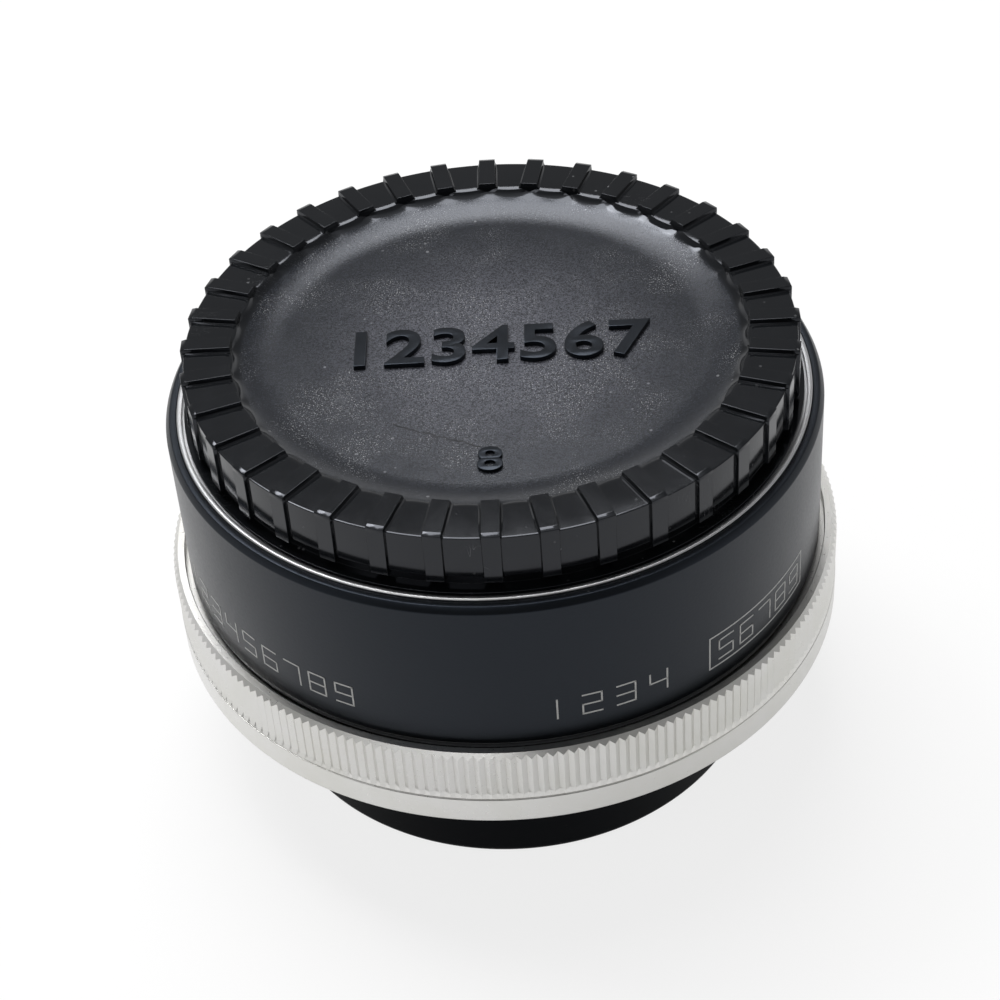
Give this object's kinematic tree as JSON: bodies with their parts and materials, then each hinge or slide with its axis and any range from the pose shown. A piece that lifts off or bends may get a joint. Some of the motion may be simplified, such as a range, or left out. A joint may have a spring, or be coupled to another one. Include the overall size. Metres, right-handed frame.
{
  "type": "camera teleconverter",
  "caption": "Short camera teleconverter with a breech-lock mount on both sides, knurled silver ring, ribbed front cap and smooth rear cap.",
  "frame": {"origin": "centre of the rear cap's underside, on the surface the converter stands on", "axes": "+Z along the optical axis towards the lens side; the alignment dots lie on +Y"},
  "size_m": [0.0654, 0.0654, 0.0452],
  "materials": {
    "black_anodised": "satin black anodised aluminium with fine turning marks",
    "chrome_mount": "satin chromed brass",
    "screw_steel": "bright steel",
    "red_paint": "gloss red",
    "coated_glass": "coated optical glass",
    "black_metal": "matt black",
    "black_plastic": "matt black moulding",
    "spring_steel": "bright spring steel",
    "rear_cap_plastic": "smooth black plastic",
    "satin_silver": "satin silver, knurled",
    "brass_ring": "turned brass",
    "front_cap_plastic": "glossy black moulding with grained middle",
    "lever_steel": "plated steel"
  },
  "bodies": {
    "housing": {"main_barrel": "black_anodised", "front_mount": "chrome_mount", "front_mount_screws": "screw_steel", "front_index_dot": "red_paint", "lens_cell": "black_anodised", "front_lens": "coated_glass", "second_lens": "coated_glass", "third_lens": "coated_glass", "rear_lens": "coated_glass", "front_lens_spacer": "black_metal", "rear_lens_spacer": "black_metal", "front_retaining_ring": "black_metal", "rear_retaining_ring": "black_metal", "rear_shroud": "black_plastic", "ring_carrier": "black_metal", "lever_guide_screws": "screw_steel", "front_baffle": "black_plastic", "rear_flange": "chrome_mount", "rear_flange_screws": "screw_steel", "friction_washer": "spring_steel", "breech_stop_pin": "screw_steel", "diaphragm_spring": "spring_steel", "signal_spring": "spring_steel", "pin_spring": "spring_steel"},
    "rear_cap": {"rear_cap": "rear_cap_plastic"},
    "breech": {"breech_ring": "satin_silver", "breech_retaining_ring": "brass_ring", "ring_index_dot": "red_paint"},
    "front_cap": {"front_cap": "front_cap_plastic"},
    "diaphragm_lever": {"diaphragm_ring": "lever_steel"},
    "signal_lever": {"signal_ring": "lever_steel"},
    "aperture_pin": {"aperture_pin": "lever_steel"}
  },
  "joints": [
    {"name": "converter_lift", "type": "slide", "parent": "rear_cap", "child": "housing", "axis": [0, 0, 1], "range_m": [0, 0.024]},
    {"name": "breech_turn", "type": "hinge", "parent": "housing", "child": "breech", "pos_m": [0, 0, 0.018], "axis": [0, 0, 1], "range_deg": [0, 50]},
    {"name": "front_cap_lift", "type": "slide", "parent": "housing", "child": "front_cap", "axis": [0, 0, 1], "range_m": [0, 0.016]},
    {"name": "diaphragm_turn", "type": "hinge", "parent": "housing", "child": "diaphragm_lever", "pos_m": [0, 0, 0.027], "axis": [0, 0, 1], "range_deg": [0, 22], "stiffness_Nm_per_rad": 0.02, "springref_deg": -17.19},
    {"name": "signal_turn", "type": "hinge", "parent": "housing", "child": "signal_lever", "pos_m": [0, 0, 0.027], "axis": [0, 0, 1], "range_deg": [0, 28], "stiffness_Nm_per_rad": 0.02, "springref_deg": -17.19},
    {"name": "pin_press", "type": "slide", "parent": "housing", "child": "aperture_pin", "axis": [0, 0, -1], "range_m": [0, 0.002], "stiffness_N_per_m": 150, "springref_m": -0.001, "deforming": ["pin_spring"]}
  ]
}
